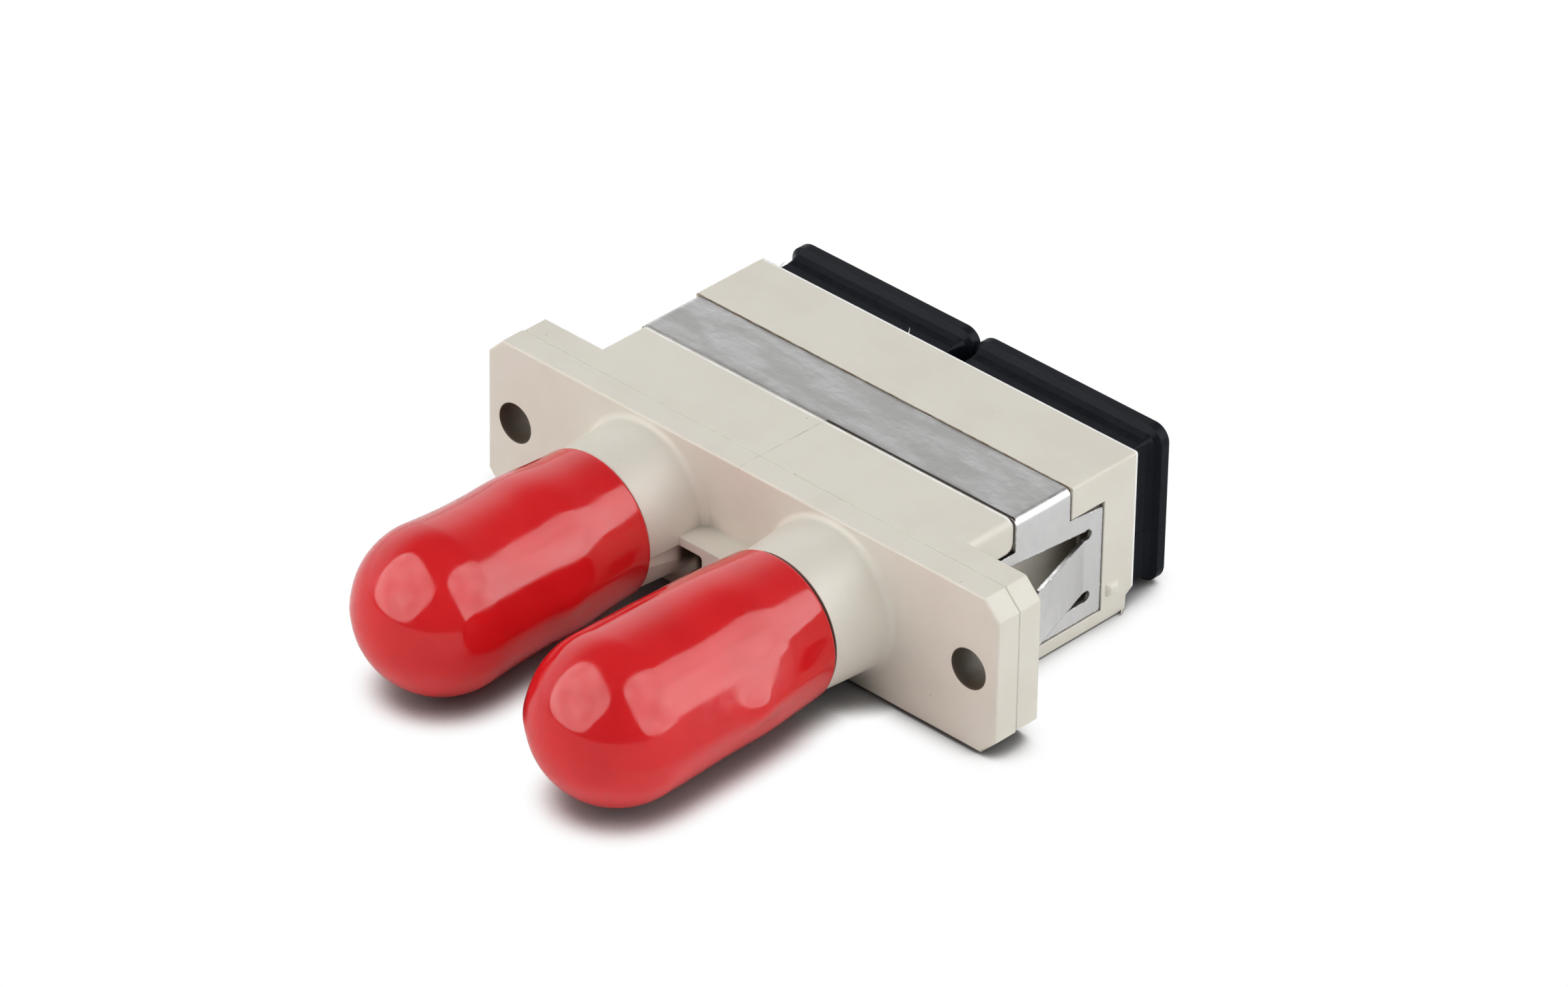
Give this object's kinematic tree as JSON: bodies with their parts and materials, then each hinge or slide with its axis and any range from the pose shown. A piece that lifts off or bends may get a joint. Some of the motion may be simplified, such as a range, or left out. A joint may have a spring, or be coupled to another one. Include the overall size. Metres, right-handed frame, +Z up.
{
  "type": "duplex hybrid fibre adapter",
  "caption": "Flanged plastic fibre-optic adapter joining round bayonet plugs to square push-pull plugs, with dust caps on its ports and a folded steel panel clip.",
  "frame": {"origin": "centre of the flange's panel face, midway between the two screw holes, on the level of the fibre axes", "axes": "+X along the flange, +Y along the fibre axes from the round ports to the square ports, +Z up through the side that carries the clip's strip"},
  "size_m": [0.0348, 0.0371, 0.0093],
  "materials": {
    "housing_beige": "satin beige moulding",
    "clip_steel": "rolled sheet, bright at the bends",
    "insert_white": "natural moulding",
    "sleeve_bronze": "smooth phosphor bronze",
    "cap_red": "glossy soft vinyl",
    "cap_black": "satin soft plastic"
  },
  "bodies": {
    "adapter": {"st_front_housing": "housing_beige", "sc_rear_housing": "housing_beige", "spring_clip": "clip_steel", "sc_latch_insert_left": "insert_white", "sc_latch_insert_right": "insert_white", "alignment_sleeve_left": "sleeve_bronze", "alignment_sleeve_right": "sleeve_bronze"},
    "st_cap_left": {"st_dust_cap_left": "cap_red"},
    "st_cap_right": {"st_dust_cap_right": "cap_red"},
    "sc_cap_left": {"sc_dust_cap_left": "cap_black"},
    "sc_cap_right": {"sc_dust_cap_right": "cap_black"}
  },
  "joints": [
    {"name": "st_cap_left_pull", "type": "slide", "parent": "adapter", "child": "st_cap_left", "axis": [0, -1, 0], "range_m": [0, 0.016], "deforming": ["st_dust_cap_left"]},
    {"name": "st_cap_right_pull", "type": "slide", "parent": "adapter", "child": "st_cap_right", "axis": [0, -1, 0], "range_m": [0, 0.016], "deforming": ["st_dust_cap_right"]},
    {"name": "sc_cap_left_pull", "type": "slide", "parent": "adapter", "child": "sc_cap_left", "axis": [0, 1, 0], "range_m": [0, 0.01]},
    {"name": "sc_cap_right_pull", "type": "slide", "parent": "adapter", "child": "sc_cap_right", "axis": [0, 1, 0], "range_m": [0, 0.01]}
  ]
}
